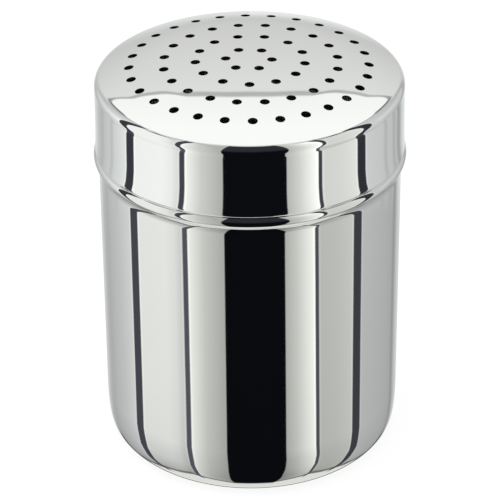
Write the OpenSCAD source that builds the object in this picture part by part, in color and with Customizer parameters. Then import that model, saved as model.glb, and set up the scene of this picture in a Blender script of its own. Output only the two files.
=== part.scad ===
// Table shaker: a drawn steel cup and a slip-on lid with a perforated dome.
// Millimetres, +Z up. The origin is the centre of the standing ring, in the plane that it rests on.

/* [Sheet and fit] */
// Thickness of the sheet that both pieces are pressed from
sheet = 0.4; // [0.3:0.05:0.6]
// Gap between the cup's wall and the lid's skirt, on the radius
fit_gap = 0.05; // [0.02:0.01:0.1]
// Gap between the lid's rounded edge and the shoulder of the stop ring
seat_gap = 0.03; // [0.02:0.01:0.1]
// Gap between the cup's rim and the level where the lid's corner starts to turn in
rim_gap = 0.3; // [0.1:0.1:1]

/* [Cup] */
// Outer diameter of the cup's straight wall
cup_d = 69.2; // [60:0.1:80]
// Height of the cup, from the surface that it stands on to its rim
cup_h = 89.7; // [70:0.1:120]
// Outer radius of the belly, the easy curve in which the wall starts to turn in to the base
belly_r = 24; // [12:1:40]
// Slope that the wall has where the belly ends and the toe starts, in degrees
belly_a = 10; // [4:1:16]
// Outer radius of the toe, the tight corner between the belly and the standing ring
toe_r = 4.8; // [3:0.1:8]
// Width of the flat standing ring between the toe and the raised panel's step
standing_w = 2.9; // [1:0.1:6]
// Height of the raised panel above the standing ring
panel_rise = 0.6; // [0.2:0.1:1]
// Radius of the two bends of the step between panel and standing ring
step_r = 1; // [0.8:0.1:1.5]

/* [Stop ring] */
// How far the stop ring stands out of the cup's wall
ring_out = 1.15; // [0.8:0.05:1.2]
// Radius of the stop ring's round nose
nose_r = 1.3; // [1.2:0.05:1.6]
// Radius of the hollow bend that leads from the wall out to the nose
throat_r = 3; // [1.5:0.1:5]

/* [Lid] */
// How far the skirt reaches down over the cup, from the cup's rim to the skirt's edge
lid_overlap = 15; // [12:0.1:30]
// Radius of the crown, the nearly flat middle of the dome
crown_r = 206; // [150:1:206]
// Slope of the dome where the crown ends, in degrees
crown_a = 6; // [5:0.1:6.5]
// Slope of the dome where the corner starts, in degrees
brow_a = 20; // [16:0.5:24]
// Outer radius of the corner between dome and skirt
lid_corner_r = 2; // [1.2:0.1:3]

/* [Dispensing holes] */
// Diameter of a hole
hole_d = 2; // [1:0.1:2.6]
// Distance of the inner ring of holes from the axis
first_ring_r = 5.2; // [4:0.1:5.2]
// Distance from one ring of holes to the next
ring_pitch = 7.25; // [6:0.05:7.3]
// Number of holes in the inner ring
ring_1_holes = 6; // [4:1:9]
// Number of holes in the second ring
ring_2_holes = 13; // [8:1:18]
// Number of holes in the third ring
ring_3_holes = 20; // [12:1:26]
// Number of holes in the outer ring
ring_4_holes = 28; // [16:1:36]

/* [Hidden] */
$fn = 96;

// Turn of each ring's first hole from +X, in degrees, counted as the dome was punched
ring_turns = [56.3, 19.1, 8.4, 14];
ring_holes = [ring_1_holes, ring_2_holes, ring_3_holes, ring_4_holes];
hole_fn = 24;

// Every arc is cut so finely that no chord leaves it by more than this
arc_tolerance = 0.01;
// Two points closer than this are one
same_point = 0.001;

// A cut edge is deburred to a full round, and the shoulder of the stop ring has the same radius
edge_r = sheet / 2;

cup_r = cup_d / 2;
// Centres of the belly and of the toe, which run into each other in a smooth line
belly_axis = [cup_r - belly_r, toe_r + (belly_r - toe_r) * sin(belly_a)];
toe_axis = [belly_axis[0] + (belly_r - toe_r) * cos(belly_a), toe_r];
// Slope of the step in the base where its two bends meet
step_a = acos(1 - panel_rise / (2 * step_r));
standing_r = toe_axis[0] - standing_w;
panel_r = standing_r - 2 * step_r * sin(step_a);
bore_r = cup_r + fit_gap;
lid_r = bore_r + sheet;

// The lid's edge, its seat on the shoulder, and the stop ring below it
edge_z = cup_h - lid_overlap + edge_r;
shoulder_z = edge_z - seat_gap;
nose_axis_r = cup_r + ring_out - nose_r;
nose_z = shoulder_z - bend_rise(edge_r);
throat_z = nose_z - bend_rise(throat_r);
lid_corner_z = cup_h + rim_gap;

// The brow between crown and corner has the one radius that meets both in a smooth line
brow_r = (lid_r - lid_corner_r * (1 - sin(brow_a)) - crown_r * sin(crown_a)) / (sin(brow_a) - sin(crown_a));
brow_axis = [(crown_r - brow_r) * sin(crown_a),
    lid_corner_z - (brow_r - lid_corner_r) * cos(brow_a)];
crown_axis_z = brow_axis[1] - (crown_r - brow_r) * cos(crown_a);

// Height between the nose's centre and the centre of a bend of radius r, which is tangent to the
// nose and to the cup's wall
function bend_rise(r) = sqrt(pow(nose_r + r, 2) - pow(cup_r + r - nose_axis_r, 2));

// Angle at which such a bend meets the nose, seen from the nose's centre
function bend_angle(r) = atan2(bend_rise(r), cup_r + r - nose_axis_r);

// Points of an arc of radius r about the point c, from angle a0 to angle a1
function arc(c, r, a0, a1) =
    let (n = max(2, ceil(abs(a1 - a0) / (2 * acos(1 - arc_tolerance / r)))))
    [for (i = [0:n]) let (a = a0 + (a1 - a0) * i / n) c + r * [cos(a), sin(a)]];

// A path without the points that repeat the one before
function distinct(path) =
    [for (i = [0:len(path) - 1]) if (i == 0 || norm(path[i] - path[i - 1]) > same_point) path[i]];

function reversed(path) = [for (i = [len(path) - 1:-1:0]) path[i]];

// One face of the cup's sheet, from the axis to the rim: t = 0 is its outside, t = sheet its inside
function cup_face(t) = concat(
    [[0, panel_rise + t]],
    arc([panel_r, panel_rise - step_r], step_r + t, 90, 90 - step_a),
    arc([standing_r, step_r], step_r - t, 270 - step_a, 270),
    arc(toe_axis, toe_r - t, 270, 360 - belly_a),
    arc(belly_axis, belly_r - t, 360 - belly_a, 360),
    arc([cup_r + throat_r, throat_z], throat_r + t, 180, 180 - bend_angle(throat_r)),
    arc([nose_axis_r, nose_z], nose_r - t, -bend_angle(throat_r), bend_angle(edge_r)),
    arc([cup_r + edge_r, shoulder_z], edge_r + t, 180 + bend_angle(edge_r), 180));

// One face of the lid's sheet, from the axis to the skirt: t = 0 is its outside, t = sheet its inside
function lid_face(t) = concat(
    arc([0, crown_axis_z], crown_r - t, 90, 90 - crown_a),
    arc(brow_axis, brow_r - t, 90 - crown_a, 90 - brow_a),
    arc([lid_r - lid_corner_r, lid_corner_z], lid_corner_r - t, 90 - brow_a, 0));

// Section of the cup: outside, round rim, inside
function cup_section() = distinct(concat(
    cup_face(0),
    arc([cup_r - edge_r, cup_h - edge_r], edge_r, 0, 180),
    reversed(cup_face(sheet))));

// Section of the lid: outside, round edge of the skirt, inside
function lid_section() = distinct(concat(
    lid_face(0),
    arc([lid_r - edge_r, edge_z], edge_r, 0, -180),
    reversed(lid_face(sheet))));

module cup_body() {
    color("gainsboro") rotate_extrude() polygon(cup_section());
}

// The holes are punched along the axis before the skirt is drawn
module hole_pattern() {
    for (ring = [0:len(ring_holes) - 1], i = [0:ring_holes[ring] - 1])
        rotate(ring_turns[ring] + 360 * i / ring_holes[ring])
            translate([first_ring_r + ring * ring_pitch, 0, edge_z])
                cylinder(d = hole_d, h = crown_axis_z + crown_r + sheet - edge_z, $fn = hole_fn);
}

module perforated_lid() {
    color("silver") difference() {
        rotate_extrude() polygon(lid_section());
        hole_pattern();
    }
}

cup_body();
perforated_lid();
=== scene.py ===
"""Looks of a polished steel table shaker: a drawn cup with a stop ring, and a perforated slip-on lid.

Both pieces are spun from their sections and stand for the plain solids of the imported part. They are polished
like mirrors, so most of what one sees of them is the studio: a pale light tent with dark joints between its
panels and an open slot in front. Lengths are in millimetres until they reach Blender, and angles in degrees.
"""

import logging
import math
from dataclasses import dataclass
from enum import Enum
from functools import reduce
from typing import Callable

import bpy
from mathutils import Matrix, Vector


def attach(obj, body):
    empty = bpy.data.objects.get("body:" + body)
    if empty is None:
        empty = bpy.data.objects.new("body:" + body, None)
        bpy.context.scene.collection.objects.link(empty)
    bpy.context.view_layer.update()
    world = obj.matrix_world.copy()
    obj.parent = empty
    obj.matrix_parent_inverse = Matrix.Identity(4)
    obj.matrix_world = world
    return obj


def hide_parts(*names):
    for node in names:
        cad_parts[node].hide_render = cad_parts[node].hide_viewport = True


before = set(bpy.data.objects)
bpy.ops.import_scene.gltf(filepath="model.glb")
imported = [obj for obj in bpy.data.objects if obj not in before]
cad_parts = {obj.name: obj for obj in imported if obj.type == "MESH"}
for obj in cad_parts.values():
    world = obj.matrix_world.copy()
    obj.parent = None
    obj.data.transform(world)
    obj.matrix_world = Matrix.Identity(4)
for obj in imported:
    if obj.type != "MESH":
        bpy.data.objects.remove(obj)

logging.basicConfig(level=logging.INFO, format="%(name)s: %(message)s")
LOG = logging.getLogger("shaker")

MM = 0.001
# Two points closer than this, in metres, are one
SAME_POINT = 2e-7

Point = tuple[float, float]
Colour = tuple[float, float, float]
Piece = bpy.types.Object
Socket = bpy.types.NodeSocket
Value = Socket | float
Light = Socket | Colour


# ---------------------------------------------------------------- sections


def bend(centre: Point, radius: float, start: float, end: float, step: float = 3.0) -> list[Point]:
    """Lays points along an arc of a section.

    Args:
        centre: The arc's centre, as distance from the axis and height.
        radius: The arc's radius.
        start: Angle of its first point, counted from straight outwards, in degrees.
        end: Angle of its last point.
        step: The most degrees from one point to the next.

    Returns:
        The points in order.
    """
    pieces = max(2, math.ceil(abs(end - start) / step))
    angles = [math.radians(start + (end - start) * i / pieces) for i in range(pieces + 1)]
    return [(centre[0] + radius * math.cos(a), centre[1] + radius * math.sin(a)) for a in angles]


def straight(start: Point, end: Point, pieces: int) -> list[Point]:
    """Lays points between two places of a section, closer together towards both ends.

    Args:
        start: The place where the line starts, which isn't among the points.
        end: The place where it ends, which isn't either.
        pieces: Number of pieces that the line is cut into.

    Returns:
        The points between the two places.
    """
    shares = [(1 - math.cos(math.pi * i / pieces)) / 2 for i in range(1, pieces)]
    return [(start[0] + (end[0] - start[0]) * s, start[1] + (end[1] - start[1]) * s) for s in shares]


def sloping(start: Point, slopes: tuple[Point, ...], piece: float = 0.4) -> list[Point]:
    """Lays points down a wall whose slope changes a little with its height.

    Args:
        start: The place where the wall starts, which isn't among the points.
        slopes: Heights, from the top down, each with the slope that the wall has there. A positive slope
            widens it downwards.
        piece: About how long the pieces are that the wall is cut into.

    Returns:
        The points behind the first place.
    """
    r = start[0]
    points = []
    for (z0, a0), (z1, a1) in zip(slopes, slopes[1:]):
        pieces = max(2, math.ceil((z0 - z1) / piece))
        for i in range(pieces):
            r += (z0 - z1) / pieces * math.tan(math.radians(a0 + (a1 - a0) * (i + 0.5) / pieces))
            points.append((r, z0 + (z1 - z0) * (i + 1) / pieces))
    return points


# ---------------------------------------------------------------- bench work


class Bench:
    """The workbench: each method is one job on the piece that lies on it."""

    @staticmethod
    def clear() -> None:
        """Deselects everything."""
        bpy.ops.object.select_all(action="DESELECT")

    @classmethod
    def take(cls, piece: Piece) -> None:
        """Puts one piece alone on the bench.

        Args:
            piece: The piece.
        """
        cls.clear()
        piece.select_set(True)
        bpy.context.view_layer.objects.active = piece

    @classmethod
    def draw(cls, name: str, section: list[Point]) -> Piece:
        """Draws a section, point by point, in the half plane in front of the axis.

        Args:
            name: Name of the new piece.
            section: Points of the section, as distance from the axis and height.

        Returns:
            The new piece, which is a chain of edges.
        """
        cls.clear()
        bpy.ops.mesh.primitive_plane_add(size=MM, location=(0, 0, 0))
        piece = bpy.context.object
        piece.name = piece.data.name = name
        bpy.ops.object.mode_set(mode="EDIT")
        bpy.ops.mesh.select_all(action="SELECT")
        bpy.ops.mesh.merge(type="CENTER")
        r, z = section[0]
        bpy.ops.transform.translate(value=(r * MM, 0, z * MM))
        for (r0, z0), (r1, z1) in zip(section, section[1:]):
            step = ((r1 - r0) * MM, 0, (z1 - z0) * MM)
            bpy.ops.mesh.extrude_region_move(TRANSFORM_OT_translate={"value": step})
        bpy.ops.object.mode_set(mode="OBJECT")
        return piece

    @classmethod
    def spin(cls, piece: Piece, steps: int) -> None:
        """Spins a drawn section round the axis, closes seam and poles, and points all faces outwards.

        Args:
            piece: The drawn section.
            steps: Number of steps in the full turn.
        """
        cls.take(piece)
        bpy.ops.object.mode_set(mode="EDIT")
        bpy.ops.mesh.select_all(action="SELECT")
        bpy.ops.mesh.spin(steps=steps, angle=math.tau, center=(0, 0, 0), axis=(0, 0, 1))
        bpy.ops.mesh.select_all(action="SELECT")
        bpy.ops.mesh.remove_doubles(threshold=SAME_POINT)
        bpy.ops.mesh.normals_make_consistent(inside=False)
        bpy.ops.object.mode_set(mode="OBJECT")

    @classmethod
    def smooth(cls, piece: Piece, crease: float) -> None:
        """Shades a piece smooth, but for edges sharper than crease, in degrees."""
        cls.take(piece)
        bpy.ops.object.shade_smooth_by_angle(angle=math.radians(crease))

    @staticmethod
    def paint(piece: Piece, finish: bpy.types.Material, picked: Callable[[Vector, Vector], bool]) -> None:
        """Gives a finish to the faces that a test picks.

        Args:
            piece: The piece.
            finish: The material of the picked faces.
            picked: The test, which is given a face's centre in millimetres and its normal.
        """
        piece.data.materials.append(finish)
        slot = len(piece.data.materials) - 1
        for face in piece.data.polygons:
            if picked(face.center / MM, face.normal):
                face.material_index = slot

    @classmethod
    def cut(cls, piece: Piece, tool: Piece) -> None:
        """Cuts the shape of a tool out of a piece and throws the tool away.

        Args:
            piece: The piece.
            tool: The tool.
        """
        cls.take(piece)
        step = piece.modifiers.new("punch", "BOOLEAN")
        step.operation, step.solver, step.object = "DIFFERENCE", "EXACT", tool
        bpy.ops.object.modifier_apply(modifier=step.name)
        bpy.data.objects.remove(tool)


# ---------------------------------------------------------------- finishes


@dataclass(frozen=True)
class Ease:
    """A change from low to high while a value runs from start to end. It is held outside of that range."""

    start: float
    end: float
    low: float = 0.0
    high: float = 1.0
    soft: bool = False


class Nodes:
    """Shorthand for laying out the nodes of one material or of the world."""

    def __init__(self, tree: bpy.types.NodeTree) -> None:
        """Clears the tree and keeps it."""
        self.tree = tree
        tree.nodes.clear()

    def add(self, kind: str, **settings: object) -> bpy.types.Node:
        """Adds a node.

        Args:
            kind: Blender's name for the kind of node.
            settings: The node's settings, by name.

        Returns:
            The new node.
        """
        node = self.tree.nodes.new(kind)
        for key, value in settings.items():
            setattr(node, key, value)
        return node

    def link(self, source: Value | tuple, target: Socket) -> None:
        """Links an output to an input, or sets the input to a plain value.

        Args:
            source: The output or the plain value.
            target: The input.
        """
        if isinstance(source, Socket):
            self.tree.links.new(source, target)
        else:
            target.default_value = source

    def math(self, job: str, *values: Value) -> Socket:
        """Adds a Math node.

        Args:
            job: What the node does.
            values: Its inputs, in order.

        Returns:
            Its result.
        """
        node = self.add("ShaderNodeMath", operation=job)
        for value, socket in zip(values, node.inputs):
            self.link(value, socket)
        return node.outputs[0]

    def total(self, *values: Value) -> Socket:
        """Adds up all the given values."""
        return reduce(lambda first, second: self.math("ADD", first, second), values)

    def product(self, *values: Value) -> Socket:
        """Multiplies all the given values."""
        return reduce(lambda first, second: self.math("MULTIPLY", first, second), values)

    def off(self, value: Socket, middle: float) -> Socket:
        """Gives how far a value is from a middle, on either side."""
        return self.math("ABSOLUTE", self.math("SUBTRACT", value, middle))

    def spread(self, value: Socket, start: float, end: float, low: float = 0.0, high: float = 1.0,
               soft: bool = False) -> Socket:
        """Carries a value from one range over to another, held at both ends.

        Args:
            value: The value that is carried over.
            start: Where its own range starts.
            end: Where its own range ends.
            low: What the start becomes.
            high: What the end becomes.
            soft: Whether the change eases in and out.

        Returns:
            The carried value.
        """
        course = "SMOOTHSTEP" if soft else "LINEAR"
        node = self.add("ShaderNodeMapRange", interpolation_type=course, clamp=True)
        for given, socket in zip((value, start, end, low, high), node.inputs):
            self.link(given, socket)
        return node.outputs[0]

    def ease(self, value: Socket, change: Ease) -> Socket:
        """Carries a value over by an Ease."""
        return self.spread(value, change.start, change.end, change.low, change.high, change.soft)

    def dim(self, colour: Light, share: Value) -> Socket:
        """Scales a colour.

        Args:
            colour: The colour.
            share: What it is multiplied by.

        Returns:
            The scaled colour.
        """
        node = self.add("ShaderNodeVectorMath", operation="SCALE")
        self.link(colour, node.inputs[0])
        self.link(share, node.inputs["Scale"])
        return node.outputs[0]

    def mix(self, share: Value, first: Light, second: Light) -> Socket:
        """Mixes two colours.

        Args:
            share: Share of the second colour.
            first: The first colour.
            second: The second colour.

        Returns:
            The mixed colour.
        """
        node = self.add("ShaderNodeMix", data_type="RGBA")
        self.link(share, node.inputs[0])
        for colour, socket in zip((first, second), node.inputs[6:8]):
            self.link((*colour, 1) if isinstance(colour, tuple) else colour, socket)
        return node.outputs[2]


@dataclass(frozen=True)
class Steel:
    """A finish of stainless sheet, from mirror polish to the near-black painted shade on the walls of the
    holes.

    Its roughness varies by the share smear either way, as the noise runs through its middle range.
    """

    name: str
    colour: Colour
    roughness: float
    wave_depth: float = 0.0
    wave_scale: float = 110.0
    smear: float = 0.3
    smear_scale: float = 90.0
    smear_detail: float = 3.0
    noise_range: Point = (0.3, 0.7)

    def material(self) -> bpy.types.Material:
        """Makes the material.

        Returns:
            The new material, with a faint unevenness of polish and sheet.
        """
        made = bpy.data.materials.new(self.name)
        made.use_nodes = True
        nodes = Nodes(made.node_tree)
        out = nodes.add("ShaderNodeOutputMaterial")
        steel = nodes.add("ShaderNodeBsdfPrincipled")
        nodes.link((*self.colour, 1), steel.inputs["Base Color"])
        nodes.link(1.0, steel.inputs["Metallic"])
        place = nodes.add("ShaderNodeTexCoord").outputs["Object"]
        smear = nodes.add("ShaderNodeTexNoise")
        nodes.link(place, smear.inputs["Vector"])
        nodes.link(self.smear_scale, smear.inputs["Scale"])
        nodes.link(self.smear_detail, smear.inputs["Detail"])
        limits = (self.roughness * (1 - self.smear), self.roughness * (1 + self.smear))
        nodes.link(nodes.spread(smear.outputs[0], *self.noise_range, *limits), steel.inputs["Roughness"])
        wave = nodes.add("ShaderNodeTexNoise")
        nodes.link(place, wave.inputs["Vector"])
        nodes.link(self.wave_scale, wave.inputs["Scale"])
        nodes.link(0.0, wave.inputs["Detail"])
        bump = nodes.add("ShaderNodeBump")
        nodes.link(self.wave_depth * MM, bump.inputs["Distance"])
        nodes.link(wave.outputs[0], bump.inputs["Height"])
        nodes.link(bump.outputs[0], steel.inputs["Normal"])
        nodes.link(steel.outputs[0], out.inputs["Surface"])
        return made


# ---------------------------------------------------------------- the shaker


@dataclass
class Cup:
    """The drawn cup with its stop ring, base corner and raised panel."""

    finish: Steel
    inside: Steel
    sheet: float = 0.4
    radius: float = 34.6
    height: float = 89.7

    # Bends of the base corner, from the wall down: radius, slope at the end, degrees from point to point
    base_bends: tuple[tuple[float, float, float], ...] = (
        (80.0, 3.5, 1.0), (27.0, 9.0, 1.0), (9.0, 18.0, 3.0), (4.5, 90.0, 3.0))
    standing_r: float = 26.61
    panel_rise: float = 0.6
    step_r: float = 1.0

    # Stop ring: its round nose, the shoulder above it, and the throat below it with an easy lead-in
    ring_out: float = 1.13
    nose_r: float = 1.6
    shoulder_r: float = 0.12
    shoulder_z: float = 74.67
    throat_r: float = 0.4
    lead_r: float = 5.2
    lead_a: float = 17.0

    # Pieces that the straight runs of the section are cut into
    panel_pieces: int = 10
    standing_pieces: int = 4
    wall_pieces: int = 34
    neck_pieces: int = 12

    # Degrees from point to point in the bends, where they aren't the usual ones
    step_turn: float = 6.0
    lead_turn: float = 1.35
    nose_turn: float = 5.0
    shoulder_turn: float = 8.0
    rim_turn: float = 15.0

    # Steps of the full spin, and the angle from which an edge stays sharp
    steps: int = 256
    crease: float = 60.0

    def bend_to_nose(self, r: float, out: float = 0.0) -> Point:
        """Finds the bend that leads from the wall to the nose of the stop ring.

        Args:
            r: Radius of the bend.
            out: How far outside the wall it starts.

        Returns:
            The height between the centres of nose and bend, and the angle at which they meet, in degrees.
        """
        across = r + out + self.nose_r - self.ring_out
        rise = math.sqrt((self.nose_r + r) ** 2 - across ** 2)
        return rise, math.degrees(math.atan2(rise, across))

    def corner(self, t: float) -> list[Point]:
        """Runs round the base corner, which tightens from the wall down to the standing ring.

        Args:
            t: Depth of the face in the sheet.

        Returns:
            The points of the corner, from the standing ring up to the wall.
        """
        r, z = self.radius - self.base_bends[0][0], 0.0
        start = 0.0
        points = []
        radii_below = [*(radius for radius, _, _ in self.base_bends[1:]), 0.0]
        for (radius, end, turn), below in zip(self.base_bends, radii_below):
            points = [*bend((r, z), radius - t, -end, -start, turn), *points[1:]]
            r += (radius - below) * math.cos(math.radians(end))
            z -= (radius - below) * math.sin(math.radians(end))
            start = end
        lift = t - points[0][1]
        return [(r, z + lift) for r, z in points]

    def face(self, t: float) -> list[Point]:
        """Runs along one face of the sheet from the axis to the rim.

        Args:
            t: Depth of the face in the sheet: 0 is the outside and the sheet's thickness the inside.

        Returns:
            The points of the face.
        """
        step_a = math.degrees(math.acos(1 - self.panel_rise / (2 * self.step_r)))
        panel = self.standing_r - 2 * self.step_r * math.sin(math.radians(step_a))
        corner = self.corner(t)
        lead = math.radians(self.lead_a)
        out = (self.lead_r - self.throat_r) * (1 - math.cos(lead))
        fall, high = self.bend_to_nose(self.shoulder_r)
        rise, low = self.bend_to_nose(self.throat_r, out)
        shoulder = (self.radius + self.shoulder_r, self.shoulder_z)
        nose = (self.radius + self.ring_out - self.nose_r, self.shoulder_z - fall)
        throat = (self.radius + self.throat_r + out, nose[1] - rise)
        lead_axis = (self.radius + self.lead_r, throat[1] - (self.lead_r - self.throat_r) * math.sin(lead))
        return [
            (0.0, self.panel_rise + t),
            *straight((0.0, self.panel_rise + t), (panel, self.panel_rise + t), self.panel_pieces),
            *bend((panel, self.panel_rise - self.step_r), self.step_r + t, 90, 90 - step_a, self.step_turn),
            *bend((self.standing_r, self.step_r), self.step_r - t, 270 - step_a, 270, self.step_turn)[1:],
            *straight((self.standing_r, t), corner[0], self.standing_pieces),
            *corner,
            *straight(corner[-1], (self.radius - t, lead_axis[1]), self.wall_pieces),
            *bend(lead_axis, self.lead_r + t, 180, 180 - self.lead_a, self.lead_turn),
            *bend(throat, self.throat_r + t, 180 - self.lead_a, 180 - low)[1:],
            *bend(nose, self.nose_r - t, -low, high, self.nose_turn)[1:],
            *bend(shoulder, self.shoulder_r + t, 180 + high, 180, self.shoulder_turn)[1:],
        ]

    def section(self) -> list[Point]:
        """Closes the section: outside, round rim and inside.

        Returns:
            The points from the axis round to the axis.
        """
        edge = self.sheet / 2
        outside, inside = self.face(0.0), self.face(self.sheet)
        rim = self.height - edge
        return [
            *outside,
            *straight(outside[-1], (self.radius, rim), self.neck_pieces),
            *bend((self.radius - edge, rim), edge, 0, 180, self.rim_turn),
            *straight((self.radius - self.sheet, rim), inside[-1], self.neck_pieces),
            *reversed(inside),
        ]

    def is_inside(self, centre: Vector, normal: Vector) -> bool:
        """Tells whether a face looks into the cup."""
        middle = Vector((0, 0, self.height / 2))
        return normal.dot(middle - centre) > 0 and centre.z < self.height - self.sheet

    def build(self) -> Piece:
        """Spins the cup, dresses it and puts it in the place of its solid.

        Returns:
            The finished cup.
        """
        cup = Bench.draw("cup_shell", self.section())
        Bench.spin(cup, self.steps)
        Bench.smooth(cup, self.crease)
        cup.data.materials.append(self.finish.material())
        Bench.paint(cup, self.inside.material(), self.is_inside)
        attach(cup, "cup")
        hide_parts("cup_body")
        return cup


@dataclass(frozen=True)
class HoleRing:
    """One ring of dispensing holes, as it was punched: each ring sits a little off the axis.

    Its holes also bunch a little: uneven is how far they are moved along the ring, how often that comes and
    goes round it, and where it is most.
    """

    count: int
    radius: float
    turn: float
    shift: Point
    uneven: tuple[float, int, float] = (0.0, 1, 0.0)

    def places(self) -> list[Point]:
        """Finds the centres of the holes.

        Returns:
            The centre of each hole, seen from above.
        """
        amount, cycles, most = self.uneven
        angles = [math.radians(self.turn + 360 * i / self.count) for i in range(self.count)]
        angles = [a + amount / self.radius * math.cos(cycles * a - math.radians(most)) for a in angles]
        return [(self.shift[0] + self.radius * math.cos(a), self.shift[1] + self.radius * math.sin(a))
                for a in angles]


@dataclass
class Lid:
    """The slip-on lid: straight skirt, small corner, brow and nearly flat crown with rings of holes."""

    finish: Steel
    inside: Steel
    # Near-black painted shade for the walls of the holes
    hole_wall_shade: Steel
    sheet: float = 0.4
    bore: float = 34.65
    radius: float = 35.05

    # Dome: nearly flat crown, brow, and the corner that turns down into the skirt
    crown_r: float = 206.0
    crown_a: float = 6.0
    brow_a: float = 20.0
    corner_r: float = 2.0
    corner_z: float = 89.999

    # Skirt: its slope at a few heights, and the height of its round edge
    slopes: tuple[Point, ...] = (
        (90.0, 0.0), (89.6, -2.4), (89.0, 0.2), (86.0, 0.5), (80.5, 0.8), (78.5, 1.6),
        (77.0, 2.3), (76.0, 3.6), (74.98, 5.0), (74.9, -20.0), (74.6, -20.0))
    edge_z: float = 74.67

    # Degrees from point to point in the bends, and pieces of the straight bore
    crown_turn: float = 0.25
    brow_turn: float = 0.5
    edge_turn: float = 15.0
    bore_pieces: int = 8

    # Steps of the full spin, and the angle from which an edge stays sharp
    steps: int = 240
    crease: float = 40.0

    # Holes: their shape, how far a punch reaches over the corner, and the most that a hole's wall may lean
    hole_d: float = 2.2
    hole_sides: int = 32
    punch_reach: float = 8.0
    steep: float = 0.3
    rings: tuple[HoleRing, ...] = (
        HoleRing(6, 5.2, 56.05, (-0.13, -0.1)),
        HoleRing(13, 12.36, 19.16, (0.21, 0.05), (0.23, 2, -129)),
        HoleRing(20, 19.72, 8.46, (0.32, -0.12), (0.29, 1, -156)),
        HoleRing(28, 27.0, 13.94, (-0.11, 0.24), (0.23, 2, 177)),
    )

    def brow_r(self) -> float:
        """The one radius that meets crown and corner in a smooth line."""
        crown, brow = math.sin(math.radians(self.crown_a)), math.sin(math.radians(self.brow_a))
        return (self.radius - self.corner_r * (1 - brow) - self.crown_r * crown) / (brow - crown)

    def axes(self) -> tuple[Point, Point]:
        """Finds the centres of crown and brow.

        Returns:
            Both centres, as distance from the axis and height.
        """
        crown, brow = math.radians(self.crown_a), math.radians(self.brow_a)
        r = self.brow_r()
        brow_z = self.corner_z - (r - self.corner_r) * math.cos(brow)
        crown_z = brow_z - (self.crown_r - r) * math.cos(crown)
        return (0.0, crown_z), ((self.crown_r - r) * math.sin(crown), brow_z)

    def face(self, t: float) -> list[Point]:
        """Runs along one face of the sheet from the axis to the skirt.

        Args:
            t: Depth of the face in the sheet, as for the cup.

        Returns:
            The points of the face.
        """
        crown, brow = self.axes()
        return [
            *bend(crown, self.crown_r - t, 90, 90 - self.crown_a, self.crown_turn),
            *bend(brow, self.brow_r() - t, 90 - self.crown_a, 90 - self.brow_a, self.brow_turn)[1:],
            *bend((self.radius - self.corner_r, self.corner_z), self.corner_r - t, 90 - self.brow_a, 0)[1:],
        ]

    def section(self) -> list[Point]:
        """Closes the section: outside with its faint neck and bell mouth, tucked round edge and inside.

        Returns:
            The points from the axis round to the axis.
        """
        edge = self.sheet / 2
        outside, inside = self.face(0.0), self.face(self.sheet)
        wall = sloping(outside[-1], self.slopes)
        mouth = [(r - self.sheet, z) for r, z in wall if r - self.sheet > self.bore and z > self.edge_z]
        tuck = self.slopes[-1][1]
        edge_axis = (wall[-1][0] - edge * math.cos(math.radians(tuck)), self.edge_z)
        return [
            *outside,
            *wall,
            *bend(edge_axis, edge, tuck, -180, self.edge_turn)[1:-1],
            *reversed(mouth),
            *straight(mouth[0], inside[-1], self.bore_pieces),
            *reversed(inside),
        ]

    def punch(self) -> Piece:
        """Makes all punches as one tool.

        Returns:
            The tool.
        """
        places = [place for ring in self.rings for place in ring.places()]
        middle = self.corner_z + self.punch_reach / 2
        Bench.clear()
        made = []
        for x, y in places:
            bpy.ops.mesh.primitive_cylinder_add(
                vertices=self.hole_sides, radius=self.hole_d / 2 * MM, depth=self.punch_reach * MM,
                location=(x * MM, y * MM, middle * MM))
            made.append(bpy.context.object)
        for tool in made:
            tool.select_set(True)
        bpy.ops.object.join()
        punch = bpy.context.object
        punch.name = "punch"
        bpy.ops.object.transform_apply(location=True, rotation=True, scale=True)
        return punch

    def is_inside(self, centre: Vector, normal: Vector) -> bool:
        """Tells whether a face looks into the lid."""
        return normal.dot(Vector((0, 0, self.edge_z)) - centre) > 0 and centre.z > self.edge_z

    def is_punched(self, centre: Vector, normal: Vector) -> bool:
        """Tells whether a face is the wall of a hole, which is given the near-black painted shade."""
        reach = self.rings[-1].radius + self.hole_d
        return abs(normal.z) < self.steep and math.hypot(centre.x, centre.y) < reach

    def build(self) -> Piece:
        """Spins the lid, punches it, dresses it and puts it in the place of its solid.

        Returns:
            The finished lid.
        """
        lid = Bench.draw("lid_shell", self.section())
        Bench.spin(lid, self.steps)
        Bench.cut(lid, self.punch())
        Bench.smooth(lid, self.crease)
        lid.data.materials.append(self.finish.material())
        Bench.paint(lid, self.inside.material(), self.is_inside)
        # The walls of the holes get a near-black painted shade, for the dark inside of the shaker seen through
        # them
        Bench.paint(lid, self.hole_wall_shade.material(), self.is_punched)
        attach(lid, "lid")
        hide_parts("perforated_lid")
        return lid


# ---------------------------------------------------------------- the studio


class Tint(Enum):
    """Casts of the tent's cloth."""

    WHITE = (0.993, 1.0, 0.988)
    CREAM = (0.99, 1.0, 0.977)
    GREEN = (0.985, 1.0, 0.994)
    BLUE = (0.88, 0.9, 1.0)
    NIGHT = (0.65, 0.78, 1.0)


# How much light the polished steel gives back, and the tone of white
STEEL = 0.8
WHITE_TONE = 255


def linear(level: float) -> float:
    """Turns a display level, from 0 to 1, into light by the curve of sRGB."""
    return level / 12.92 if level < 0.04045 else ((level + 0.055) / 1.055) ** 2.4


def seen(tone: float, tint: Tint = Tint.WHITE) -> Colour:
    """Gives the light that shows as a tone in the polished steel.

    Args:
        tone: The tone in the steel, from 0 for black to 255 for white.
        tint: Its cast.

    Returns:
        The colour of the light.
    """
    return tuple(linear(tone * cast / WHITE_TONE) / STEEL for cast in tint.value)


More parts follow.
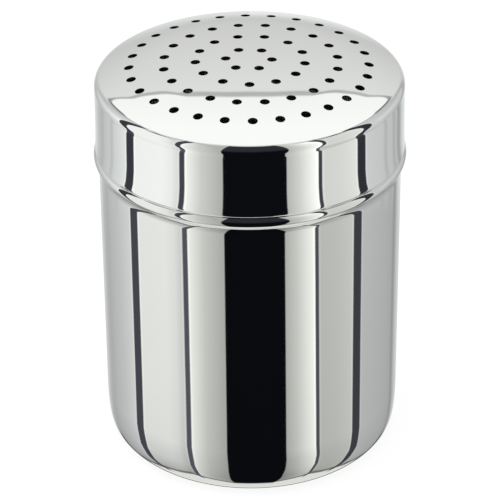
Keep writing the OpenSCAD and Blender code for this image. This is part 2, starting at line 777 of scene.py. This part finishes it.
@dataclass(frozen=True)
class Joint:
    """A dark joint between two panels of the tent, or the edge of its slot, which has no width of its own.

    It runs straight up, and bends outwards and closes as an arch towards the elevation top. Where the cup
    mirrors it, it is moved by shift and leans by lean degrees for each degree further down. A wide joint
    runs on as the dark upper border of its panel: cap is how far that corner is off the front, and how high.
    """

    azimuth: float
    half_width: float
    tone: float
    top: float
    shift: float = 0.0
    lean: float = 0.0
    soft: float = 1.0
    cap: Point | None = None

    @property
    def side(self) -> float:
        """The side of the front that it lies on: 1 for the right and -1 for the left."""
        return math.copysign(1.0, self.azimuth)


@dataclass(frozen=True)
class Panel:
    """A panel of the tent: its tones at a few azimuths from left to right, and the cast of its cloth.

    It is lighter by the share lift where the skirt mirrors it, and darker by the share drop towards its
    foot.
    """

    knots: tuple[Point, ...]
    tint: Tint
    lift: float = 0.0
    drop: float = 0.0


@dataclass(frozen=True)
class Aim:
    """Where a ray from the steel meets the tent, as values of the world's nodes.

    The azimuth runs from straight in front towards the right, and height is the elevation. off_front is how
    far the azimuth is from the front, on either side. depth and up are how far back and how far up a ray of
    length 1 reaches.
    """

    azimuth: Socket
    height: Socket
    off_front: Socket
    depth: Socket
    up: Socket


@dataclass
class LightTent:
    """The pale tent of cloth that the steel mirrors.

    Its tones are those that the steel shows, from 0 to 255. An Ease runs over elevations where its name says
    top, foot, rise or zone, over azimuths off the front where it says side, and over the distance from a
    line or a middle where it says edge, profile or reach.
    """

    # Light of the tent on all that isn't a mirror
    fill: float = 0.75

    # Elevations where the skirt's image of the tent ends and the cup's starts, and where the panels darken
    skirt_foot: Point = (-28.6, -29.4)
    cup_foot: Point = (-33.0, -50.0)

    # Joints: how far their arches swing out and how late, and where the image on the cup moves them
    flare: float = 14.0
    arch_power: float = 2.0
    slot_arch_power: float = 4.0
    nearly_closed: float = 0.9999
    lean_end: float = -38.0
    sway_zone: Ease = Ease(-40, -60, 0, 1.5)
    joints: tuple[Joint, ...] = (
        Joint(-99.6, 4.2, 60, 56, -0.6, -0.12, cap=(96, 52.8)),
        Joint(-51.2, 2.1, 72, 68),
        Joint(-20.0, 0, 15, 82),
        Joint(26.7, 0, 15, 82, -0.9, 0.25),
        Joint(52.7, 1.5, 66, 68, -1.7, 0.5),
        Joint(90.2, 4.2, 52, 58, -0.8, 0.36, cap=(92, 57)),
    )

    # Dark lines of the joints: where they fade, how their inner edge lags, what is left as an arch closes,
    # how much lighter they are on the cup, and their bright rims
    seam_side: Ease = Ease(112, 140, 1, 0, soft=True)
    seam_foot: Ease = Ease(-56, -61, 1, 0, soft=True)
    inner_lag_rise: Ease = Ease(0, 20, 1, 0.6)
    arch_fade: Point = (8.0, 1.0)
    arch_rest: float = 0.1
    cup_seam_gain: float = 1.6
    rim_place: float = 1.0
    rim_glow: float = 1.15

    # Caps of the wide joints: all but the two edges run along the top of the panel, from its corner on
    cap_top_steps: tuple[Ease, ...] = (Ease(-5, -25, 0, 3.6), Ease(14, 28, 0, 1.6))
    cap_depth: Ease = Ease(0, 16, 10.0, 3.2)
    cap_run: tuple[Ease, ...] = (Ease(-5, -3), Ease(18, 34, 1, 0))
    cap_upper_edge: Ease = Ease(-0.8, 0.8, 1, 0, soft=True)
    cap_lower_edge: Ease = Ease(-0.8, 0.8, soft=True)

    # Walls: the panels, their darker foot, a bright band at the sides, and faint folds, each with its
    # azimuth and depth
    panels: tuple[Panel, ...] = (
        Panel(((-180, 206), (-160, 194), (-152, 177), (-144, 171), (-134, 182), (-120, 194), (-104, 212)),
              Tint.GREEN, 0.07, 0.3),
        Panel(((-96, 228), (-68, 231), (-60, 224), (-54, 206)), Tint.WHITE, 0.04, 0.43),
        Panel(((-48, 238), (-36, 200), (-22, 174)), Tint.CREAM, -0.03, 0.24),
        Panel(((-20, 15), (26, 15)), Tint.NIGHT),
        Panel(((28, 180), (36, 202), (50, 248)), Tint.CREAM, 0.0, 0.42),
        Panel(((55, 186), (70, 190), (86, 200)), Tint.CREAM, 0.22, 0.2),
        Panel(((94, 186), (128, 174), (140, 167), (145, 147), (148, 155), (153, 182), (160, 194),
               (180, 208)), Tint.GREEN, 0.14, 0.1),
    )
    wall_foot: Ease = Ease(-29, -38, 1.0, 0.91)
    band_height: float = 4.0
    band_reach: Ease = Ease(0, 20, 1, 0, soft=True)
    band_sides: tuple[Ease, ...] = (Ease(96, 104), Ease(150, 140))
    band_gain: float = 1.17
    folds: tuple[Point, ...] = ((-141.0, 0.08), (-124.0, 0.15), (120.0, 0.16), (134.0, 0.16), (143.5, 0.12))
    fold_reach: Ease = Ease(0, 4.5, 1, 0, soft=True)
    fold_top: Ease = Ease(-12, -22, soft=True)

    # The open slot in front: its glow, its soft edges, its two ends, and how the roof comes down beside it
    slot_glow: float = 47.0
    slot_soft: float = 0.5
    slot_middle: float = 3.2
    slot_reach: Ease = Ease(60, 40, soft=True)
    slot_rise: Ease = Ease(0, 20)
    slot_top: Ease = Ease(75.0, 78.5, soft=True)
    beside_slot_top: Ease = Ease(58.0, 84.0, soft=True)
    slot_foot: Ease = Ease(-64.0, -70.0, soft=True)

    # Roof: its tones in front, on top and behind, with the depths between them, and the panel behind
    roof_tones: tuple[float, float, float] = (192.0, 243.0, 236.0)
    roof_depths: tuple[Ease, Ease] = (Ease(-0.14, 0.1), Ease(0.55, 0.8))
    rear_tones: Point = (190.0, 214.0)
    rear_rise: Ease = Ease(8, 34)
    rear_foot: Ease = Ease(-8, 8, soft=True)
    rear_side: Ease = Ease(143, 156, soft=True)

    # Hem of the roof: its elevation and the steps in it, how soft, wide and strong it is, and its tones
    roof_hem: float = 62.0
    roof_hem_side_steps: tuple[Ease, ...] = (
        Ease(92, 112, 0, -8, soft=True), Ease(118, 151, 0, -15.5), Ease(149, 154, 0, -6.8, soft=True),
        Ease(153, 160, 0, 3.8, soft=True), Ease(165, 171.5, 0, -0.8, soft=True),
        Ease(172, 179, 0, 1.2, soft=True))
    roof_hem_side_soft: Ease = Ease(95, 148, 3.0, 0.5)
    roof_hem_side_width: Ease = Ease(150, 155, 3.0, 0.95)
    roof_hem_side_strength: tuple[Ease, ...] = (
        Ease(40, 52), Ease(52, 112, 0.25, 0.9), Ease(92, 104, 1, 0.6, soft=True),
        Ease(140, 152, 1, 1.667, soft=True))
    roof_hem_profile: Ease = Ease(0.35, 1.0, 1, 0, soft=True)
    roof_hem_tones: Point = (88.0, 166.0)
    roof_hem_tone_side: Ease = Ease(151, 156)

    # Floor: how far its hem dips, with the steps in that, and a painted shadow of the shaker on the tent's
    # floor, right behind it. The middle of that painted shadow dips by contact_dip, and contact_cosine runs
    # over the cosine of the angle off it
    floor_tone: float = 221.0
    floor_hem: float = 51.5
    floor_hem_side_steps: tuple[Ease, ...] = (
        Ease(58, 8, 0, 19), Ease(58, 76, 0, 2.5), Ease(120, 165, 0, -8))
    floor_edge: Ease = Ease(0.8, -0.8, soft=True)
    floor_hem_profile: Ease = Ease(1.2, 3.0, 0.85, 0, soft=True)
    floor_hem_tone: float = 90.0
    painted_contact_shadow_tone: float = 82.0
    contact_dip: float = 36.0
    contact_cosine: Ease = Ease(0.86, 0.93, soft=True)
    contact_top: Ease = Ease(-37.5, -41.0, soft=True)

    def build(self) -> None:
        """Hangs the tent in the world: glossy and clear things see it, the camera sees plain white."""
        world = bpy.data.worlds.new("light_tent")
        bpy.context.scene.world = world
        world.use_nodes = True
        nodes = Nodes(world.node_tree)
        aim = self.aim(nodes)
        flats = [self.unbend(nodes, joint, aim) for joint in self.joints]
        slot = self.slot(nodes, flats)
        tent = self.walls(nodes, flats, aim)
        tent = self.roof(nodes, tent, slot, aim)
        tent = self.floor(nodes, tent, slot, aim)
        tent = self.seams(nodes, tent, flats, aim)
        path = nodes.add("ShaderNodeLightPath").outputs
        mirrored = nodes.math("MAXIMUM", path["Is Glossy Ray"], path["Is Transmission Ray"])
        plain = nodes.mix(path["Is Camera Ray"], (self.fill, self.fill, self.fill), (1, 1, 1))
        light = nodes.add("ShaderNodeBackground")
        nodes.link(nodes.mix(mirrored, plain, tent), light.inputs["Color"])
        out = nodes.add("ShaderNodeOutputWorld")
        nodes.link(light.outputs[0], out.inputs["Surface"])
        LOG.info("light_tent: %d panels, %d joints", len(self.panels), len(self.joints))

    def aim(self, nodes: Nodes) -> Aim:
        """Finds where a ray meets the tent.

        Args:
            nodes: The world's nodes.

        Returns:
            The place of the tent.
        """
        way = nodes.add("ShaderNodeSeparateXYZ")
        nodes.link(nodes.add("ShaderNodeTexCoord").outputs["Generated"], way.inputs[0])
        x, y, z = way.outputs
        height = nodes.math("DEGREES", nodes.math("ARCSINE", z))
        azimuth = nodes.math("DEGREES", nodes.math("ARCTAN2", x, nodes.product(y, -1.0)))
        azimuth = nodes.total(azimuth, nodes.ease(height, self.sway_zone))
        return Aim(azimuth, height, nodes.math("ABSOLUTE", azimuth), y, z)

    def unbend(self, nodes: Nodes, joint: Joint, aim: Aim) -> Socket:
        """Straightens the tent beside a joint, as if the joint ran straight up.

        Args:
            nodes: The world's nodes.
            joint: The joint.
            aim: The place of the tent.

        Returns:
            The azimuth that the place then has.
        """
        share = nodes.spread(aim.height, 0, joint.top, 0, self.nearly_closed)
        power = self.arch_power if joint.half_width else self.slot_arch_power
        left = nodes.math("SUBTRACT", 1.0, nodes.math("POWER", share, power))
        outwards = nodes.product(nodes.math("LOGARITHM", left, math.e), self.flare * joint.side)
        flat = nodes.total(aim.azimuth, outwards)
        if joint.lean:
            foot = self.skirt_foot[1]
            lean = nodes.spread(aim.height, foot, self.lean_end, 0, joint.lean * (foot - self.lean_end))
            flat = nodes.math("SUBTRACT", flat, nodes.spread(aim.height, *self.skirt_foot, 0, joint.shift))
            flat = nodes.math("SUBTRACT", flat, lean)
        return flat

    def slot(self, nodes: Nodes, flats: list[Socket]) -> Socket:
        """Finds the open slot, which lies between the two joints that have no width.

        Args:
            nodes: The world's nodes.
            flats: For each joint, the azimuth as if it ran straight up.

        Returns:
            Share of the open slot.
        """
        (start, after), (end, before) = ((joint.azimuth, flat) for joint, flat in zip(self.joints, flats)
                                         if not joint.half_width)
        return nodes.product(nodes.spread(after, start - self.slot_soft, start + self.slot_soft, soft=True),
                             nodes.spread(before, end + self.slot_soft, end - self.slot_soft, soft=True))

    def cloth(self, nodes: Nodes, panel: Panel, azimuth: Socket, height: Socket) -> Socket:
        """Lights one panel along its width and height.

        Args:
            nodes: The world's nodes.
            panel: The panel.
            azimuth: The azimuth as if the panel's joint ran straight up.
            height: The elevation.

        Returns:
            Light of the panel.
        """
        start, end = panel.knots[0][0], panel.knots[-1][0]
        ramp = nodes.add("ShaderNodeValToRGB")
        stops = ramp.color_ramp.elements
        for place, _ in panel.knots[1:-1]:
            stops.new((place - start) / (end - start))
        for stop, (_, tone) in zip(stops, panel.knots):
            stop.color = (*seen(tone, panel.tint), 1)
        nodes.link(nodes.spread(azimuth, start, end), ramp.inputs[0])
        light = nodes.dim(ramp.outputs[0], nodes.spread(height, *self.skirt_foot, 1 + panel.lift, 1))
        return nodes.dim(light, nodes.spread(height, *self.cup_foot, 1, 1 - panel.drop))

    def walls(self, nodes: Nodes, flats: list[Socket], aim: Aim) -> Socket:
        """Puts the panels side by side, from left to right.

        Args:
            nodes: The world's nodes.
            flats: For each joint, the azimuth as if it ran straight up.
            aim: The place of the tent.

        Returns:
            Light of the walls.
        """
        light = self.cloth(nodes, self.panels[0], aim.azimuth, aim.height)
        for joint, flat, panel in zip(self.joints, flats, self.panels[1:]):
            beyond = nodes.math("SUBTRACT", flat, joint.azimuth)
            beyond = nodes.spread(beyond, -joint.soft / 2, joint.soft / 2, soft=True)
            light = nodes.mix(beyond, light, self.cloth(nodes, panel, flat, aim.height))
        band = nodes.product(nodes.ease(nodes.off(aim.height, self.band_height), self.band_reach),
                             *(nodes.ease(aim.off_front, side) for side in self.band_sides))
        light = nodes.dim(light, nodes.spread(band, 0, 1, 1, self.band_gain))
        high = nodes.product(nodes.spread(aim.height, *reversed(self.skirt_foot)),
                             nodes.ease(aim.height, self.fold_top))
        for place, depth in self.folds:
            fold = nodes.product(nodes.ease(nodes.off(aim.azimuth, place), self.fold_reach), high)
            light = nodes.dim(light, nodes.spread(fold, 0, 1, 1, 1 - depth))
        return nodes.dim(light, nodes.ease(aim.height, self.wall_foot))

    def roof(self, nodes: Nodes, light: Light, slot: Socket, aim: Aim) -> Socket:
        """Closes the tent above, with a panel and a hem behind, and fades the slot into it.

        Args:
            nodes: The world's nodes.
            light: Light of the walls.
            slot: Share of the open slot.
            aim: The place of the tent.

        Returns:
            Light of walls and roof.
        """
        front, top, rear = (seen(tone) for tone in self.roof_tones)
        to_top, to_rear = (nodes.ease(aim.depth, change) for change in self.roof_depths)
        roof = nodes.mix(to_rear, nodes.mix(to_top, front, top), rear)
        behind = nodes.product(nodes.ease(aim.off_front, self.rear_side),
                               nodes.ease(aim.height, self.rear_foot))
        low, high = (seen(tone) for tone in self.rear_tones)
        light = nodes.mix(behind, light, nodes.mix(nodes.ease(aim.height, self.rear_rise), low, high))
        glow = nodes.product(nodes.ease(aim.height, self.slot_rise), slot)
        light = nodes.mix(glow, light, seen(self.slot_glow, Tint.BLUE))
        steps = (nodes.ease(aim.off_front, step) for step in self.roof_hem_side_steps)
        hem = nodes.total(self.roof_hem, *steps)
        rise = nodes.math("SUBTRACT", aim.height, hem)
        near_slot = nodes.ease(nodes.off(aim.azimuth, self.slot_middle), self.slot_reach)
        over = nodes.math("DIVIDE", rise, nodes.ease(aim.off_front, self.roof_hem_side_soft))
        over = nodes.product(nodes.spread(over, -1, 1, soft=True), nodes.math("SUBTRACT", 1.0, near_slot))
        light = nodes.mix(over, light, roof)
        above = nodes.mix(slot, nodes.ease(aim.height, self.beside_slot_top),
                          nodes.ease(aim.height, self.slot_top))
        light = nodes.mix(nodes.product(above, near_slot), light, roof)
        line = nodes.math("DIVIDE", nodes.math("ABSOLUTE", rise),
                          nodes.ease(aim.off_front, self.roof_hem_side_width))
        line = nodes.product(nodes.ease(line, self.roof_hem_profile),
                             *(nodes.ease(aim.off_front, part) for part in self.roof_hem_side_strength))
        side_tone, rear_tone = self.roof_hem_tones
        tone = nodes.mix(nodes.ease(aim.off_front, self.roof_hem_tone_side),
                         seen(side_tone, Tint.BLUE), seen(rear_tone, Tint.CREAM))
        return nodes.mix(line, light, tone)

    def floor(self, nodes: Nodes, light: Light, slot: Socket, aim: Aim) -> Socket:
        """Closes the tent below, with a hem at the walls' foot and a painted shadow of the shaker on the floor
        behind it.

        Args:
            nodes: The world's nodes.
            light: Light of walls and roof.
            slot: Share of the open slot.
            aim: The place of the tent.

        Returns:
            Light of walls, roof and floor.
        """
        floor = seen(self.floor_tone, Tint.CREAM)
        out_slot = nodes.math("SUBTRACT", 1.0, slot)
        rise = nodes.total(aim.height, self.floor_hem,
                           *(nodes.ease(aim.off_front, step) for step in self.floor_hem_side_steps))
        light = nodes.mix(nodes.product(nodes.ease(rise, self.floor_edge), out_slot), light, floor)
        line = nodes.ease(nodes.math("ABSOLUTE", rise), self.floor_hem_profile)
        light = nodes.mix(nodes.product(line, out_slot), light, seen(self.floor_hem_tone))
        light = nodes.mix(nodes.product(nodes.ease(aim.height, self.slot_foot), slot), light, floor)
        # Painted shadow: the tent's floor is darkened right behind the shaker, where the shaker's own shadow
        # would lie
        dip = math.radians(self.contact_dip)
        cosine = nodes.total(nodes.product(aim.depth, math.cos(dip)), nodes.product(aim.up, -math.sin(dip)))
        behind = nodes.product(nodes.ease(cosine, self.contact_cosine),
                               nodes.ease(aim.height, self.contact_top))
        return nodes.mix(behind, light, seen(self.painted_contact_shadow_tone))

    def seams(self, nodes: Nodes, light: Light, flats: list[Socket], aim: Aim) -> Socket:
        """Draws the dark joints over the panels, each with a bright rim, and fades them where they close.

        Args:
            nodes: The world's nodes.
            light: Light of the tent without them.
            flats: For each joint, the azimuth as if it ran straight up.
            aim: The place of the tent.

        Returns:
            Light of the whole tent.
        """
        fade = nodes.product(nodes.ease(aim.off_front, self.seam_side),
                             nodes.ease(aim.height, self.seam_foot))
        for joint, flat in zip(self.joints, flats):
            if joint.half_width:
                light = self.seam(nodes, light, joint, flat, fade, aim)
        return light

    def seam(self, nodes: Nodes, light: Light, joint: Joint, flat: Socket, fade: Socket, aim: Aim) -> Socket:
        """Draws one dark joint.

        Args:
            nodes: The world's nodes.
            light: Light of the tent behind the joint.
            joint: The joint.
            flat: The azimuth as if the joint ran straight up.
            fade: How much of all joints is seen there.
            aim: The place of the tent.

        Returns:
            Light of the tent with the joint.
        """
        inner = nodes.math("MULTIPLY_ADD", nodes.math("SUBTRACT", flat, aim.azimuth),
                           nodes.ease(aim.height, self.inner_lag_rise), aim.azimuth)
        off = nodes.math("MAXIMUM", nodes.product(nodes.math("SUBTRACT", flat, joint.azimuth), joint.side),
                         nodes.product(nodes.math("SUBTRACT", joint.azimuth, inner), joint.side))
        inside, outside = (joint.half_width + side * joint.soft / 2 for side in (-1, 1))
        line = nodes.product(nodes.spread(off, inside, outside, 1, 0, soft=True), fade)
        if joint.cap:
            line = self.cap(nodes, joint, line, aim)
        else:
            start, end = (joint.top - below for below in self.arch_fade)
            line = nodes.product(line, nodes.spread(aim.height, start, end, 1, self.arch_rest))
        rim = nodes.off(off, joint.half_width + self.rim_place)
        rim = nodes.product(nodes.spread(rim, 0, self.rim_place, 1, 0, soft=True), fade)
        light = nodes.dim(light, nodes.spread(rim, 0, 1, 1, self.rim_glow))
        gain = nodes.spread(aim.height, *self.skirt_foot, 1, self.cup_seam_gain)
        return nodes.mix(line, light, nodes.dim(seen(joint.tone, Tint.BLUE), gain))

    def cap(self, nodes: Nodes, joint: Joint, line: Socket, aim: Aim) -> Socket:
        """Ends a wide joint at the top of its panel, and lets it run on along there, tapering.

        Args:
            nodes: The world's nodes.
            joint: The joint.
            line: Share of the joint without its cap.
            aim: The place of the tent.

        Returns:
            Share of the joint with its cap.
        """
        corner, top = joint.cap
        along = nodes.total(nodes.product(aim.azimuth, -joint.side), corner)
        rise = nodes.math("SUBTRACT", aim.height, top)
        over = nodes.total(rise, *(nodes.ease(along, step) for step in self.cap_top_steps))
        under_edge = nodes.ease(over, self.cap_upper_edge)
        over_edge = nodes.ease(nodes.total(rise, nodes.ease(along, self.cap_depth)), self.cap_lower_edge)
        tail = nodes.product(under_edge, over_edge, *(nodes.ease(along, end) for end in self.cap_run))
        return nodes.math("MAXIMUM", nodes.product(line, under_edge), tail)


@dataclass
class Studio:
    """Camera, floor and lamp."""

    # Camera
    place: tuple[float, float, float] = (0.0, -512.89, 344.89)
    pitch: float = 30.222
    yaw: float = 0.021
    roll: float = -0.441
    lens: float = 182.533
    sensor: float = 36.0
    clip: Point = (10.0, 20000.0)

    # Floor: its glow makes up what its grey lacks to white under the light that falls on it
    floor_size: float = 6000.0
    floor_grey: float = 0.12
    floor_light: float = 0.9

    # Lamp
    lamp_power: float = 5.0
    lamp_size: float = 900.0
    lamp_place: tuple[float, float, float] = (-120.0, -80.0, 800.0)

    def camera(self) -> None:
        """Stands the camera at the viewing angle."""
        data = bpy.data.cameras.new("camera")
        data.sensor_width, data.lens = self.sensor, self.lens
        data.clip_start, data.clip_end = (end * MM for end in self.clip)
        camera = bpy.data.objects.new("camera", data)
        bpy.context.scene.collection.objects.link(camera)
        turn = (Matrix.Rotation(math.radians(self.yaw), 4, "Z")
                @ Matrix.Rotation(math.radians(90 - self.pitch), 4, "X")
                @ Matrix.Rotation(math.radians(self.roll), 4, "Z"))
        camera.matrix_world = Matrix.Translation(Vector(self.place) * MM) @ turn
        bpy.context.scene.camera = camera

    def floor(self) -> None:
        """Lays the pale floor, which takes the shaker's shadow. The steel mirrors the tent's floor."""
        Bench.clear()
        bpy.ops.mesh.primitive_plane_add(size=self.floor_size * MM, location=(0, 0, 0))
        floor = bpy.context.object
        floor.name = "floor"
        paint = bpy.data.materials.new("floor_white")
        paint.use_nodes = True
        nodes = Nodes(paint.node_tree)
        matt = nodes.add("ShaderNodeBsdfDiffuse")
        nodes.link((self.floor_grey, self.floor_grey, self.floor_grey, 1), matt.inputs["Color"])
        glow = nodes.add("ShaderNodeEmission")
        on_camera = nodes.add("ShaderNodeLightPath").outputs["Is Camera Ray"]
        nodes.link(nodes.product(on_camera, 1 - self.floor_grey * self.floor_light), glow.inputs["Strength"])
        both = nodes.add("ShaderNodeAddShader")
        nodes.link(matt.outputs[0], both.inputs[0])
        nodes.link(glow.outputs[0], both.inputs[1])
        nodes.link(both.outputs[0], nodes.add("ShaderNodeOutputMaterial").inputs["Surface"])
        floor.data.materials.append(paint)
        floor.visible_glossy = False

    def lamp(self) -> None:
        """Hangs one big soft lamp, which the steel doesn't mirror, for the shadow under the shaker."""
        data = bpy.data.lights.new("soft_lamp", "AREA")
        data.shape, data.size, data.energy = "DISK", self.lamp_size * MM, self.lamp_power
        lamp = bpy.data.objects.new("soft_lamp", data)
        lamp.location = Vector(self.lamp_place) * MM
        lamp.rotation_euler = (-lamp.location).to_track_quat("-Z", "Y").to_euler()
        lamp.visible_glossy = False
        bpy.context.scene.collection.objects.link(lamp)

    def build(self) -> None:
        """Sets up camera, floor, lamp and plain colours."""
        self.camera()
        self.floor()
        self.lamp()
        bpy.context.scene.view_settings.view_transform = "Standard"


def main() -> None:
    """Builds the studio and the shaker, and reports its pieces."""
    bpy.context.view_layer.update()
    Studio().build()
    LightTent().build()
    cup_polish = Steel("cup_polish", (0.79, 0.79, 0.784), roughness=0.03, wave_depth=0.004)
    lid_polish = Steel("lid_polish", (0.86, 0.86, 0.864), roughness=0.03, wave_depth=0.0035)
    pressed = Steel("pressed_inside", (0.74, 0.74, 0.73), roughness=0.3)
    # Near-black painted shade for the walls of the holes, where the shaker's dark inside shows through
    hole_wall_shade = Steel("hole_wall_painted_shade", (0.05, 0.05, 0.055), roughness=0.6)
    cup = Cup(cup_polish, pressed).build()
    lid = Lid(lid_polish, pressed, hole_wall_shade).build()
    for piece in (cup, lid):
        LOG.info("%s: %d faces", piece.name, len(piece.data.polygons))


if __name__ == "__main__":
    main()
